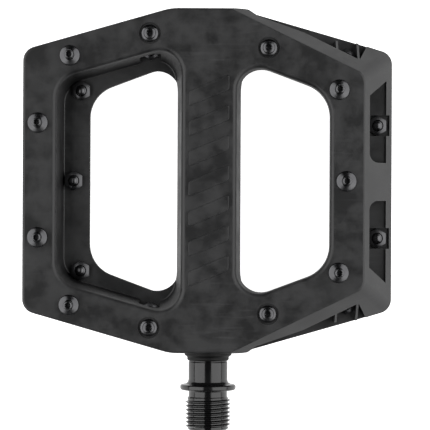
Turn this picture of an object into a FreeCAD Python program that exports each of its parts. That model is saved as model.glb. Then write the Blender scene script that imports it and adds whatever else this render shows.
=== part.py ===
"""A flat bicycle pedal, right-hand side, in millimetres.

The origin is on the axle's own axis, in the plane of the shoulder that bears on the crank.
+Y runs outwards along the axle to the end cap, +X is fore and aft, and +Z leaves the upper tread.
The platform is the same after half a turn about the axle, so its lower face repeats the upper one.
"""
import FreeCAD, Part
import math
import os
import re
import Sketcher

SIZES = {
    # platform: outline, height and plates
    "half_length": 58.2,        # fore and aft
    "half_width": 54.0,         # along the axle
    "barrel_wall": 1.5,         # over the end cap
    "half_height": "=cap_radius + barrel_wall",
    "plate": 5.0,               # thickness of the upper and of the lower tread plate
    "inboard_gap": 12.0,        # from the crank shoulder to the platform
    "end_flat": 12.0,           # half the straight end over the axle
    "corner_fall": 13.3,        # how far the slanted ends fall to the fore edge
    "corner_row": "=half_width - corner_fall",
    "corner_round": 4.5,
    "end_round": 17.0,
    # bevel that turns the tread's nose down to the opposite plate
    "nose_inset": 9.6,
    "nose": "=half_length - nose_inset",
    "nose_row_inset": 7.3,
    "nose_row": "=corner_row - nose_row_inset",
    "nose_turn": 25.9,          # degrees
    "nose_round": 5.0,
    # windows: the wide one is open in the tread, the narrow one goes through both plates
    "barrel_top": 8.5,          # half the barrel's width at the tread
    "barrel_belly": 10.4,       # half the barrel's width at its middle
    "wide_inset": 10.4,
    "wide_window": "=half_length - wide_inset",
    "wide_rim": 12.0,           # from the outline, along the axle
    "wide_draft": 1.5,
    "wide_foot": 0.5,           # rounding where the wide window's wall meets its ledge
    "narrow_rim": 10.7,         # from the nose
    "narrow_window": "=nose - narrow_rim",
    "narrow_row": "=nose_row - narrow_row_inset",
    "narrow_row_inset": 6.0,
    "narrow_turn": 20.6,        # degrees
    "wide_corner": 8.0,
    "narrow_corner": 10.5,
    "barrel_corner": 7.0,
    "window_round": 1.5,
    "tread_round": 0.8,
    # pockets
    "nose_pocket_inset": 1.8,   # from the nose to the pocket's inner wall
    "nose_pocket": "=nose + nose_pocket_inset",
    "nose_pocket_lip": 2.0,     # from the outline
    "nose_pocket_rise": 1.7,    # of its floor over the plate
    "nose_pocket_floor": "=half_height - plate - nose_pocket_rise",
    "nose_rib": 6.0,            # half the rib between the two nose pockets
    "nose_pocket_corner": 6.4,  # from the nose's own corner
    "nose_pocket_end": "=nose_row - nose_pocket_corner",
    "nose_pocket_splay": 5.0,
    "nose_pocket_round": 3.0,
    "nut_room_round": 1.2,
    "plate_trim": 1.3,          # from the outline to the upper plate's edge, beside the barrel
    "end_pocket_depth": 6.2,
    "end_rib": 0.7,
    "end_rib_inset": 1.4,       # from the outline to the rib's outer edge
    "corner_pocket_inset": 5.2,
    "corner_pocket_row": "=corner_row - corner_pocket_inset",
    "corner_pocket_width": 5.1,
    "corner_pocket_turn": 60.0,  # degrees
    # tread pins: insets that place them on the upper face
    "edge_pin_inset": 4.7,
    "edge_pin_row_inset": 9.1,
    "corner_pin_inset": 14.6,
    "corner_pin_row_inset": 1.7,
    "barrel_pin_row_inset": 8.0,
    "inner_pin_row_inset": 12.4,
    "shoulder_pin_inset": 17.5,
    "shoulder_pin_row_inset": 4.8,
    "nose_pin_inset": 15.2,
    # tread pins: places on the upper face, from the middle of the platform
    "edge_pin": "=half_length - edge_pin_inset",
    "edge_pin_row": "=nose_pocket_end - edge_pin_row_inset",
    "corner_pin": "=half_length - corner_pin_inset",
    "corner_pin_row": "=corner_row - corner_pin_row_inset",
    "barrel_pin": 18.6,
    "barrel_pin_row": "=half_width - barrel_pin_row_inset",
    "inner_pin": 18.6,
    "inner_pin_row": "=half_width - inner_pin_row_inset",
    "shoulder_pin": "=half_length - shoulder_pin_inset",
    "shoulder_pin_row": "=nose_row - shoulder_pin_row_inset",
    "nose_pin": "=half_length - nose_pin_inset",
    # tread pins: their own sizes
    "shank_radius": 1.5,
    "hole_clearance": 0.1,
    "shank_end": 0.6,           # how far the shank stands out of its nut
    "collar_radius": 3.2,
    "collar_height": 1.0,
    "tip_radius": 1.45,
    "tip_height": 4.3,          # above the collar
    "low_collar_radius": 2.7,
    "low_tip_radius": 1.9,
    "low_tip_height": 1.4,
    "recess_room": 0.75,        # round the low pin's collar
    "recess_depth": 0.9,
    "pin_chamfer": 0.3,
    "pin_key": 1.5,             # across flats
    "pin_key_depth": 1.6,
    "nut_flats": 5.5,
    "nut_height": 2.4,
    "nut_room": 0.55,
    "nut_bore_clearance": 0.05,
    # axle
    "thread_radius": 7.144,
    "thread_start": 2.1,        # relief between the shoulder and the thread
    "thread_end": 12.7,
    "thread_chamfer": 1.2,
    "relief_depth": 1.044,
    "flange_ledge": 1.656,      # from the thread to the flange's rim
    "flange_width": 1.75,
    "flange_chamfer": 0.35,
    "fillet_end": 3.4,
    "journal_radius": 6.0,
    "shank_step": 0.175,        # from the journal up to the shank
    "journal_start": 9.0,
    "journal_overrun": 1.0,     # past the bush
    "taper_length": 30.0,
    "core_radius": 4.8,
    "bearing_inset": 20.0,      # from the platform's outboard face to the bearing's seat
    "bearing_face": "=inboard_gap + 2 * half_width - bearing_inset",
    "stud_radius": 3.0,
    "stud_length": 7.4,
    "axle_key": 8.0,            # across flats
    "axle_key_depth": 9.0,
    # plain bush and lip seal
    "running_clearance": 0.03,
    "bush_wall": 1.0,
    "bush_radius": "=journal_radius + bush_wall",
    "bush_start": 3.0,          # from the platform's inboard face
    "bush_length": 16.0,
    "seal_step": 0.8,           # from the bush to the seal's outside
    "seal_radius": "=bush_radius + seal_step",
    "seal_depth": 2.5,
    "seal_lip_step": 0.45,      # from the bush to the lip's outside
    "seal_nose_wall": 0.3,
    "seal_nose": 2.7,           # how far the lip stands out of the platform
    "seal_gap": 0.3,            # from the lip's shoulder to the platform's face
    "bore_room": 0.5,           # round the journal, past the bush
    # ball bearing
    "bearing_bore": 3.5,
    "bearing_radius": 7.0,
    "bearing_width": 5.0,
    "pitch_radius": "=(bearing_bore + bearing_radius) / 2",
    "ball_radius": "=(bearing_radius - bearing_bore) / 3.5",
    "inner_land": "=pitch_radius - 0.8 * ball_radius",
    "outer_land": "=pitch_radius + 0.75 * ball_radius",
    "groove_radius": "=1.04 * ball_radius",
    "cage_thickness": 0.6,
    "cage_width": "=2.6 * ball_radius",
    "cage_clearance": 0.08,
    "shield_inset": 0.15,
    "shield_thickness": 0.3,
    "shield_gap": 0.15,
    # lock nut, washer, cap and its ring
    "washer_radius": 4.4,
    "washer_thickness": 1.0,
    "lock_nut_flats": 10.0,
    "lock_nut_height": 5.0,
    "cap_step": 1.0,            # from the bearing to the cap's outside
    "cap_radius": "=bearing_radius + cap_step",
    "cap_length": 5.8,
    "cap_chamfer": 0.5,
    "cap_key": 6.0,             # across flats
    "cap_key_depth": 3.0,
    "ring_thickness": 1.0,
    # a cutter reaches this far past the face it cuts
    "over": 1.0,
    "far": 20.0,
}
BALL_COUNT = 9

doc = FreeCAD.newDocument("flat_pedal")
sheet = doc.addObject("Spreadsheet::Sheet", "Dimensions")
for line, alias in enumerate(SIZES, start=1):
    sheet.set(f"A{line}", alias)
    sheet.setAlias(f"B{line}", alias)
for line, number in enumerate(SIZES.values(), start=1):
    sheet.set(f"B{line}", str(number))
doc.recompute()


def linked(formula):
    """A formula with each size in it named as the sheet's cell."""
    def cell(found):
        word = found.group(0)
        return f"Dimensions.{word}" if word in SIZES else word
    return re.sub(r"[a-z][a-z_]*", cell, formula)


def bind(item, path, formula):
    item.setExpression(path, linked(formula))


# --- sketches and features -------------------------------------------------------------------

def origin_plane(body, role):
    return next(plane for plane in body.Origin.OriginFeatures if plane.Role == role)


def new_sketch(body, name, role, height):
    sketch = body.newObject("Sketcher::SketchObject", name)
    sketch.AttachmentSupport = (origin_plane(body, role), "")
    sketch.MapMode = "FlatFace"
    bind(sketch, "AttachmentOffset.Base.z", height)
    return sketch


def hold_point(sketch, line, end, point, formulas):
    """Hold one end of a line, or a circle's centre, at a place given by two formulas."""
    for axis, start, formula in zip("XY", point, formulas):
        number = sketch.addConstraint(Sketcher.Constraint(f"Distance{axis}", line, end, start))
        bind(sketch, f"Constraints[{number}]", formula)


def add_polygon(sketch, corners):
    """A closed outline of straight lines through corners given as pairs of formulas."""
    count = len(corners)
    start = [(10 * math.cos(math.tau * i / count), 10 * math.sin(math.tau * i / count)) for i in range(count)]
    for i in range(count):
        first = FreeCAD.Vector(*start[i], 0)
        last = FreeCAD.Vector(*start[(i + 1) % count], 0)
        sketch.addGeometry(Part.LineSegment(first, last))
    for i in range(count):
        sketch.addConstraint(Sketcher.Constraint("Coincident", i, 2, (i + 1) % count, 1))
    for i, corner in enumerate(corners):
        hold_point(sketch, i, 1, start[i], corner)


def add_hexagon(sketch, flats):
    """A hexagon about the sketch's origin, two of its flats square to the sketch's X axis."""
    corner = f"{flats} / 2 / cos(30 deg)"
    turns = [30 + 60 * k for k in range(6)]
    add_polygon(sketch, [(f"{corner} * cos({a} deg)", f"{corner} * sin({a} deg)") for a in turns])


def add_circles(sketch, centres, radius):
    for number, centre in enumerate(centres):
        place = (5.0 * number + 5.0, 3.0)
        sketch.addGeometry(Part.Circle(FreeCAD.Vector(*place, 0), FreeCAD.Vector(0, 0, 1), 1.0))
        hold_point(sketch, number, 3, place, centre)
        size = sketch.addConstraint(Sketcher.Constraint("Radius", number, 1.0))
        bind(sketch, f"Constraints[{size}]", radius)


def new_body(name):
    return doc.addObject("PartDesign::Body", name)


def revolve(body, role, profile):
    """Turn a closed profile of (radius, height) pairs about the sketch's own upright axis."""
    sketch = new_sketch(body, f"{body.Name}_profile", role, "0")
    add_polygon(sketch, profile)
    turned = body.newObject("PartDesign::Revolution", f"{body.Name}_turned")
    turned.Profile = sketch
    turned.ReferenceAxis = (sketch, ["V_Axis"])
    turned.Angle = 360
    sketch.Visibility = False
    doc.recompute()
    return turned


def pocket(body, sketch, depth, reverse=False):
    before = body.Shape.Volume
    cut = body.newObject("PartDesign::Pocket", f"{sketch.Name}_cut")
    cut.Profile = sketch
    cut.Reversed = reverse
    bind(cut, "Length", depth)
    doc.recompute()
    if not body.Shape.Volume < before:
        raise RuntimeError(f"{sketch.Name} cuts nothing")
    return cut


def prism(name, corners, low, high, extra=None):
    """An upright block whose plan is a polygon or, with extra, what extra draws."""
    body = new_body(name)
    sketch = new_sketch(body, f"{name}_plan", "XY_Plane", low)
    if extra:
        extra(sketch)
    else:
        add_polygon(sketch, corners)
    pad = body.newObject("PartDesign::Pad", f"{name}_pad")
    pad.Profile = sketch
    bind(pad, "Length", f"({high}) - ({low})")
    doc.recompute()
    return body


def leaning_block(name, corners, low, high, sides):
    """A block whose plan is given at the middle plane, and whose sides lean by their own angles.

    Each side is a formula for its angle, a test that picks its faces, and whether it opens upwards.
    """
    body = prism(name, corners, low, high)
    for number, (angle, wanted, opens_up) in enumerate(sides, start=1):
        base = body.Tip
        names = [f"Face{i}" for i, face in enumerate(base.Shape.Faces, start=1) if wanted(face)]
        lean = body.newObject("PartDesign::Draft", f"{name}_lean_{number}")
        lean.Base = (base, names)
        lean.NeutralPlane = (origin_plane(body, "XY_Plane"), [""])
        lean.Reversed = opens_up
        bind(lean, "Angle", angle)
        doc.recompute()
    return body


def round_edges(body, name, radius, wanted):
    """Round the body's edges that the wanted test picks."""
    base = body.Tip
    names = [f"Edge{i}" for i, edge in enumerate(base.Shape.Edges, start=1) if wanted(edge)]
    if not names:
        raise RuntimeError(f"{name} finds no edge")
    rounded = body.newObject("PartDesign::Fillet", name)
    rounded.Base = (base, names)
    bind(rounded, "Radius", radius)
    doc.recompute()
    return rounded


def middle(edge):
    return edge.CenterOfMass


def climbs(edge):
    """True for an edge that runs from one plan of a block to the other."""
    return edge.BoundBox.ZLength > 1.0


def side_face(face, low_x, high_x):
    """True for a side of a block whose middle lies between two places fore and aft."""
    return abs(face.normalAt(0, 0).z) < 0.9 and low_x < face.CenterOfMass.x < high_x


# --- the platform ----------------------------------------------------------------------------

def both_rows(points):
    """The points of a plan that is the same each side of the middle, in order round the plan."""
    return points + [(x, f"-({y})") for x, y in reversed(points)]


DROP = "(2 * half_height - plate)"          # from one tread to the inner face of the other plate
OUTLINE_FALL = "((half_width - corner_row) / (half_length - end_flat))"
BEVEL_RUN = "((corner_row - nose_row) * cos(nose_turn * 1deg) + (half_length - nose) * sin(nose_turn * 1deg))"
MIDDLE_FALL = f"(half_height / {DROP})"     # share of a lean that is done at the middle plane


def outline_row(x):
    """Half the platform's width at x on its slanted ends."""
    return f"(half_width - (({x}) - end_flat) * {OUTLINE_FALL})"


def bevel_plan():
    """The nose's bevel at the middle plane, wide enough behind to clear the outline."""
    side = f"{MIDDLE_FALL} * {BEVEL_RUN} / cos(nose_turn * 1deg)"
    front_row = f"nose_row - {MIDDLE_FALL} * (half_length - nose) * tan(nose_turn * 1deg) + {side}"
    back_row = f"nose_row + (nose + half_length + far) * tan(nose_turn * 1deg) + {side}"
    return both_rows([("-(half_length + far)", back_row),
                      (f"nose + {MIDDLE_FALL} * (half_length - nose)", front_row)])


def narrow_plan():
    """The narrow window at the barrel's belly."""
    side_row = "narrow_row + (narrow_window - barrel_belly) * tan(narrow_turn * 1deg)"
    return both_rows([("barrel_belly", side_row), ("narrow_window", "narrow_row")])


def wide_plan():
    """The wide window at the middle plane, its ends parallel to the outline."""
    side = f"(barrel_top + {MIDDLE_FALL} * (barrel_belly - barrel_top))"
    outer = f"(wide_window - {MIDDLE_FALL} * wide_draft)"
    rows = [f"{outline_row(x)} - wide_rim - {MIDDLE_FALL} * wide_draft" for x in (side, outer)]
    return both_rows([(f"-{side}", rows[0]), (f"-{outer}", rows[1])])


def mirrored(source, name):
    """A copy across the platform's middle plane."""
    copy = doc.addObject("Part::Mirroring", name)
    copy.Source = source
    copy.Base = (0, 0, 0)
    copy.Normal = (0, 1, 0)
    return copy


def half_turned(source, name):
    """A copy after half a turn about the axle."""
    copy = doc.addObject("Part::Compound", name)
    copy.Links = [source]
    copy.Placement = HALF_TURN
    return copy


def boolean(kind, name, base, tool):
    result = doc.addObject(f"Part::{kind}", name)
    result.Base = base
    result.Tool = tool
    doc.recompute()
    return result


def united(name, shapes):
    result = doc.addObject("Part::MultiFuse", name)
    result.Shapes = shapes
    doc.recompute()
    return result


HALF_TURN = FreeCAD.Placement(FreeCAD.Vector(), FreeCAD.Rotation(FreeCAD.Vector(0, 1, 0), 180))
INNER_FACE = "(half_height - plate)"

outline = both_rows([
    ("-half_length", "corner_row"), ("-end_flat", "half_width"),
    ("end_flat", "half_width"), ("half_length", "corner_row"),
])
slab = prism("slab", outline, "-half_height", "half_height")
round_edges(slab, "slab_corners", "corner_round",
            lambda edge: climbs(edge) and abs(middle(edge).x) > sheet.end_flat + 1)
round_edges(slab, "slab_ends", "end_round",
            lambda edge: climbs(edge) and edge.Curve.TypeId == "Part::GeomLine"
            and abs(abs(middle(edge).x) - sheet.end_flat) < 0.01)

# The bevel falls from the tread's nose to the inner face of the far plate at the outline.
bevel = leaning_block("bevel", bevel_plan(), "-half_height - over", "half_height + over", [
    (f"atan((half_length - nose) / {DROP})",
     lambda face: side_face(face, sheet.nose, sheet.half_length), False),
    (f"atan({BEVEL_RUN} / {DROP})",
     lambda face: side_face(face, -sheet.half_length, sheet.nose), False),
])
round_edges(bevel, "bevel_corners", "nose_round", lambda edge: climbs(edge) and middle(edge).x > 0)
upper_form = boolean("Common", "upper_form", slab, bevel)
blank = boolean("Common", "blank", upper_form, half_turned(bevel, "bevel_below"))

narrow = leaning_block("narrow", narrow_plan(), "0", "half_height + over", [
    ("atan((barrel_belly - barrel_top) / half_height)",
     lambda face: side_face(face, 0, sheet.barrel_belly + 1), True),
])
round_edges(narrow, "narrow_outer_corners", "narrow_corner",
            lambda edge: climbs(edge) and middle(edge).x > sheet.narrow_window - 1)
round_edges(narrow, "narrow_barrel_corners", "barrel_corner",
            lambda edge: climbs(edge) and middle(edge).x < sheet.barrel_belly + 1)
wide = leaning_block("wide", wide_plan(), f"-{INNER_FACE}", "half_height + over", [
    (f"atan((barrel_belly - barrel_top) / {DROP})",
     lambda face: side_face(face, -sheet.barrel_belly, 0), True),
    (f"atan(wide_draft / {DROP})",
     lambda face: side_face(face, -sheet.wide_window, -sheet.barrel_belly), True),
])
round_edges(wide, "wide_outer_corners", "wide_corner",
            lambda edge: climbs(edge) and middle(edge).x < -sheet.wide_window / 2)
round_edges(wide, "wide_barrel_corners", "barrel_corner",
            lambda edge: climbs(edge) and middle(edge).x > -sheet.barrel_belly - 1)
round_edges(wide, "wide_foot_edges", "wide_foot", lambda edge: edge.BoundBox.ZMax < 0)

POCKET_LIP = "(half_length - nose_pocket_lip)"
nose_pocket = prism("nose_hollow", [
    ("nose_pocket", "nose_rib"), (POCKET_LIP, "nose_rib"),
    (POCKET_LIP, "nose_pocket_end + nose_pocket_splay"), ("nose_pocket", "nose_pocket_end"),
], "-nose_pocket_floor", "half_height + over")
round_edges(nose_pocket, "nose_hollow_end", "nose_pocket_round",
            lambda edge: climbs(edge) and middle(edge).x < sheet.nose_pocket + 1
            and middle(edge).y < sheet.nose_rib + 1)

BEYOND = "half_width + far"
NUT_HALF = "(nut_flats / 2 + nut_room)"
NUT_REACH = "(nut_flats / 2 / cos(30 deg) + nut_room / 2)"
NUT_DEPTH = "(nut_height + shank_end + hole_clearance)"


def room_plan(x_low, x_high, row_low, row_high):
    return [(x_low, row_low), (x_high, row_low), (x_high, row_high), (x_low, row_high)]


def inset_row(x, inset):
    """A row that stands inside the slanted outline at x."""
    return f"({outline_row(x)} - ({inset}))"


# Thin ribs part the barrel pin's room, the end hollow, the corner pin's room and the corner hollow.
WEB_SIDE = f"(barrel_pin + {NUT_HALF})"
WEB_FACE = f"({WEB_SIDE} + end_rib)"
RIB_SIDE = f"(corner_pin - {NUT_HALF} + nut_room / 2)"
RIB_FACE = f"({RIB_SIDE} - end_rib)"
WALL_SIDE = f"(corner_pin + {NUT_HALF} - nut_room / 2)"
WALL_FACE = f"({WALL_SIDE} + end_rib)"
CORNER_SIDE = f"({RIB_SIDE} + corner_pocket_width)"
TRIM_START = f"(barrel_pin - {NUT_HALF})"


def corner_side_row(x):
    """Where the corner hollow's slanted side is at x."""
    return f"(corner_pocket_row + ({x} - {CORNER_SIDE}) * tan(corner_pocket_turn * 1deg))"


edge_room = prism("edge_nut_room", room_plan("nose_pocket", f"edge_pin + {NUT_HALF} + nut_room",
                                             f"edge_pin_row - {NUT_HALF}", f"edge_pin_row + {NUT_HALF}"),
                  f"-{INNER_FACE}", "half_height")
round_edges(edge_room, "edge_room_corners", "nut_room_round",
            lambda edge: climbs(edge) and middle(edge).x < sheet.nose_pocket + 0.1)
pockets = [
    nose_pocket,
    edge_room,
    prism("barrel_pocket", room_plan(f"barrel_pin - {NUT_HALF}", f"barrel_pin + {NUT_HALF}",
                                     "barrel_pin_row + shank_radius", BEYOND),
          f"-{INNER_FACE}", INNER_FACE),
    prism("barrel_nut_room", room_plan(f"barrel_pin - {NUT_HALF}", f"barrel_pin + {NUT_HALF}",
                                       f"barrel_pin_row - {NUT_REACH}", BEYOND),
          f"-{INNER_FACE}", f"-{INNER_FACE} + {NUT_DEPTH}"),
    prism("plate_edge", [
        ("end_flat", "half_width"), (TRIM_START, inset_row(TRIM_START, "plate_trim")),
        (RIB_FACE, inset_row(RIB_FACE, "2 * plate_trim")), (RIB_FACE, BEYOND), ("end_flat", BEYOND),
    ], f"-{INNER_FACE}", "half_height + over"),
    prism("end_hollow", [
        (WEB_FACE, inset_row(WEB_FACE, "end_pocket_depth")),
        (RIB_FACE, inset_row(RIB_FACE, "end_pocket_depth")),
        (RIB_FACE, inset_row(RIB_FACE, "end_rib_inset")),
        (RIB_SIDE, inset_row(RIB_SIDE, "end_rib_inset")),
        (RIB_SIDE, BEYOND), (WEB_FACE, BEYOND),
    ], f"-{INNER_FACE}", INNER_FACE),
    prism("corner_pin_room", [
        (RIB_SIDE, "corner_pocket_row"), (CORNER_SIDE, "corner_pocket_row"),
        (WALL_SIDE, corner_side_row(WALL_SIDE)), (WALL_SIDE, BEYOND), (RIB_SIDE, BEYOND),
    ], f"-{INNER_FACE}", INNER_FACE),
    prism("corner_hollow", [
        (WALL_FACE, corner_side_row(WALL_FACE)),
        (f"{CORNER_SIDE} + (half_width + far - corner_pocket_row) / tan(corner_pocket_turn * 1deg)", BEYOND),
        (WALL_FACE, BEYOND),
    ], f"-{INNER_FACE}", INNER_FACE),
    prism("inner_pocket", room_plan(f"-inner_pin - {NUT_HALF}", f"-inner_pin + {NUT_HALF}",
                                    "narrow_row", "inner_pin_row - shank_radius"),
          f"-{INNER_FACE}", INNER_FACE),
    prism("inner_nut_room", room_plan(f"-inner_pin - {NUT_HALF}", f"-inner_pin + {NUT_HALF}",
                                      "narrow_row", f"inner_pin_row + {NUT_REACH}"),
          f"-{INNER_FACE}", f"-{INNER_FACE} + {NUT_DEPTH}"),
]
row_cuts = united("row_cuts", pockets)
upper_cuts = united("upper_cuts", [row_cuts, mirrored(row_cuts, "row_cuts_across"), narrow, wide])
upper_open = boolean("Cut", "upper_open", blank, upper_cuts)
open_form = boolean("Cut", "open_form", upper_open, half_turned(upper_cuts, "lower_cuts"))

moulding = new_body("moulding")
moulding.BaseFeature = open_form
doc.recompute()


def tread_rims(outer):
    """The middles of the edges round the treads' outline, or else round the windows in them."""
    treads = [face for face in moulding.Shape.Faces if abs(face.normalAt(0, 0).z) > 0.99
              and abs(abs(face.CenterOfMass.z) - sheet.half_height) < 0.001]
    return [middle(edge) for face in treads for wire in face.Wires
            if wire.isSame(face.OuterWire) == outer for edge in wire.Edges]


for name, radius, outer in (("window_edges", "window_round", False), ("tread_edges", "tread_round", True)):
    spots = tread_rims(outer)
    round_edges(moulding, name, radius,
                lambda edge: any(middle(edge).isEqual(spot, 0.001) for spot in spots))

# Each pin's place on the upper face and whether it is a tall one.
PIN_PLACES = [
    ("-corner_pin", "corner_pin_row", True), ("-corner_pin", "-corner_pin_row", True),
    ("-edge_pin", "edge_pin_row", True), ("-edge_pin", "-edge_pin_row", True),
    ("-barrel_pin", "barrel_pin_row", False), ("-barrel_pin", "-barrel_pin_row", False),
    ("inner_pin", "inner_pin_row", False), ("inner_pin", "-inner_pin_row", False),
    ("shoulder_pin", "shoulder_pin_row", True), ("shoulder_pin", "-shoulder_pin_row", True),
    ("nose_pin", "0", True),
]
holes = prism("pin_holes", None, f"{INNER_FACE} - {NUT_DEPTH}", "half_height + over",
              extra=lambda sketch: add_circles(sketch, [place[:2] for place in PIN_PLACES],
                                               "shank_radius + hole_clearance"))
recesses = prism("recesses", None, "half_height - recess_depth", "half_height + over",
                 extra=lambda sketch: add_circles(sketch, [place[:2] for place in PIN_PLACES if not place[2]],
                                                  "low_collar_radius + recess_room"))
upper_drill = united("upper_drill", [holes, recesses])

BUSH_END = "(-half_width + bush_start + bush_length)"
BORE_RELIEF = "(journal_radius + bore_room)"
BEARING_SEAT = "(bearing_face - inboard_gap - half_width)"
CAP_SEAT = "(half_width - cap_length - ring_thickness)"
bore = new_body("bore")
revolve(bore, "XY_Plane", [
    ("0", "-half_width - over"), ("seal_radius", "-half_width - over"),
    ("seal_radius", "-half_width + seal_depth"), ("bush_radius", "-half_width + seal_depth"),
    ("bush_radius", BUSH_END), (BORE_RELIEF, BUSH_END), (BORE_RELIEF, BEARING_SEAT),
    ("bearing_radius", BEARING_SEAT), ("bearing_radius", CAP_SEAT),
    ("cap_radius", CAP_SEAT), ("cap_radius", "half_width + over"), ("0", "half_width + over"),
])
upper_drilled = boolean("Cut", "upper_drilled", moulding, upper_drill)
drilled = boolean("Cut", "drilled", upper_drilled, half_turned(upper_drill, "lower_drill"))
platform = boolean("Cut", "platform_body", drilled, bore)
MIDDLE_ROW = "(inboard_gap + half_width)"
bind(platform, "Placement.Base.y", MIDDLE_ROW)
parts = [platform]

# --- pins and nuts ---------------------------------------------------------------------------

SHANK_LENGTH = "(plate + nut_height + shank_end)"


def make_pin(name, collar_radius, tip_radius, tip_height, seat):
    """A tread pin about Z: its collar sits at seat, its shank runs down and its tip up."""
    body = new_body(name)
    top = f"({seat} + collar_height + {tip_height})"
    revolve(body, "XZ_Plane", [
        ("0", f"-{SHANK_LENGTH}"), ("shank_radius - pin_chamfer", f"-{SHANK_LENGTH}"),
        ("shank_radius", f"-{SHANK_LENGTH} + pin_chamfer"), ("shank_radius", seat),
        (collar_radius, seat), (collar_radius, f"{seat} + collar_height - pin_chamfer"),
        (f"{collar_radius} - pin_chamfer", f"{seat} + collar_height"),
        (tip_radius, f"{seat} + collar_height"), (tip_radius, f"{top} - pin_chamfer"),
        (f"{tip_radius} - pin_chamfer", top), ("0", top),
    ])
    key = new_sketch(body, f"{name}_key", "XY_Plane", top)
    add_hexagon(key, "pin_key")
    pocket(body, key, "pin_key_depth")
    return body


def hexagon_nut(name, role, flats, low, high, bore_radius):
    """A hexagon nut about the plane's normal, from low to high along it."""
    body = new_body(name)
    plan = new_sketch(body, f"{name}_plan", role, low)
    add_hexagon(plan, flats)
    pad = body.newObject("PartDesign::Pad", f"{name}_pad")
    pad.Profile = plan
    bind(pad, "Length", f"({high}) - ({low})")
    doc.recompute()
    hole = new_sketch(body, f"{name}_hole", role, high)
    add_circles(hole, [("0", "0")], bore_radius)
    pocket(body, hole, f"({high}) - ({low})")
    return body


tall_pin = make_pin("tall_pin", "collar_radius", "tip_radius", "tip_height", "0")
low_pin = make_pin("low_pin", "low_collar_radius", "low_tip_radius", "low_tip_height", "-recess_depth")
pin_nut = hexagon_nut("pin_nut", "XY_Plane", "nut_flats", "-(plate + nut_height)", "-plate",
                      "shank_radius + nut_bore_clearance")


def placed_copy(source, name, x, row, lower):
    """A copy on the upper face, or after half a turn about the axle on the lower face."""
    copy = new_body(name)
    copy.BaseFeature = source
    if lower:
        copy.Placement = HALF_TURN
    side = "-" if lower else ""
    bind(copy, "Placement.Base.x", f"{side}({x})")
    bind(copy, "Placement.Base.y", f"{MIDDLE_ROW} + {row}")
    bind(copy, "Placement.Base.z", f"{side}half_height")
    return copy


for face in ("upper", "lower"):
    for number, (x, row, tall) in enumerate(PIN_PLACES, start=1):
        pin = tall_pin if tall else low_pin
        parts.append(placed_copy(pin, f"{face}_pin_{number:02d}", x, row, face == "lower"))
        parts.append(placed_copy(pin_nut, f"{face}_nut_{number:02d}", x, row, face == "lower"))

# --- axle, bush and seal ---------------------------------------------------------------------

FLANGE = "(thread_radius + flange_ledge)"
RELIEF = "(thread_radius - relief_depth)"
SHANK = "(journal_radius + shank_step)"
JOURNAL_END = "(inboard_gap + bush_start + bush_length + journal_overrun)"
STUD_START = "(bearing_face + bearing_width)"
STUD_END = f"({STUD_START} + stud_length)"
axle = new_body("axle")
revolve(axle, "XY_Plane", [
    ("0", "-thread_end"), ("thread_radius - thread_chamfer", "-thread_end"),
    ("thread_radius", "-thread_end + thread_chamfer"), ("thread_radius", "-thread_start - thread_chamfer / 2"),
    (RELIEF, "-thread_start"), (RELIEF, "0"), (f"{FLANGE} - flange_chamfer", "0"), (FLANGE, "flange_chamfer"),
    (FLANGE, "flange_width"), (SHANK, "fillet_end"), (SHANK, "journal_start"),
    ("journal_radius", "journal_start"), ("journal_radius", JOURNAL_END),
    ("core_radius", f"{JOURNAL_END} + taper_length"), ("core_radius", "bearing_face"),
    ("bearing_bore", "bearing_face"), ("bearing_bore", STUD_START), ("stud_radius", STUD_START),
    ("stud_radius", f"{STUD_END} - pin_chamfer"), ("stud_radius - pin_chamfer", STUD_END), ("0", STUD_END),
])
axle_key = new_sketch(axle, "axle_socket", "XZ_Plane", "thread_end")
add_hexagon(axle_key, "axle_key")
pocket(axle, axle_key, "axle_key_depth")
parts.append(axle)


def turned_ring(name, profile):
    body = new_body(name)
    revolve(body, "XY_Plane", profile)
    parts.append(body)
    return body


def plain_ring(name, inner, outer, start, end):
    return turned_ring(name, [(inner, start), (outer, start), (outer, end), (inner, end)])


BUSH_START = "(inboard_gap + bush_start)"
plain_ring("inboard_bush", "journal_radius + running_clearance", "bush_radius",
           BUSH_START, f"{BUSH_START} + bush_length")
SEAL_BORE = "journal_radius + 2 * running_clearance"
SEAL_NOSE = "(journal_radius + seal_nose_wall)"
SEAL_LIP = "(bush_radius + seal_lip_step)"
turned_ring("lip_seal", [
    (SEAL_BORE, "inboard_gap - seal_nose"), (SEAL_NOSE, "inboard_gap - seal_nose"),
    (SEAL_LIP, "inboard_gap - seal_gap"), (SEAL_LIP, "inboard_gap"),
    ("seal_radius", "inboard_gap"), ("seal_radius", "inboard_gap + seal_depth"),
    (SEAL_BORE, "inboard_gap + seal_depth"),
])

# --- ball bearing ----------------------------------------------------------------------------

BEARING_MIDDLE = "(bearing_face + bearing_width / 2)"


def grooved_ring(name, inner, outer):
    """A bearing ring with a round groove for the balls."""
    blank_ring = new_body(f"{name}_blank")
    revolve(blank_ring, "XY_Plane", [
        (inner, "bearing_face"), (outer, "bearing_face"),
        (outer, "bearing_face + bearing_width"), (inner, "bearing_face + bearing_width"),
    ])
    groove = doc.addObject("Part::Torus", f"{name}_groove")
    bind(groove, "Radius1", "pitch_radius")
    bind(groove, "Radius2", "groove_radius")
    groove.Placement = FreeCAD.Placement(FreeCAD.Vector(), FreeCAD.Rotation(FreeCAD.Vector(1, 0, 0), 90))
    bind(groove, "Placement.Base.y", BEARING_MIDDLE)
    doc.recompute()
    ring = boolean("Cut", name, blank_ring, groove)
    parts.append(ring)


def ball_turns():
    """Each ball's turn about the axle, in degrees."""
    return [360 / BALL_COUNT * (number + 0.5) for number in range(BALL_COUNT)]


def gathered(name, shapes):
    group = doc.addObject("Part::Compound", name)
    group.Links = shapes
    doc.recompute()
    return group


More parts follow.
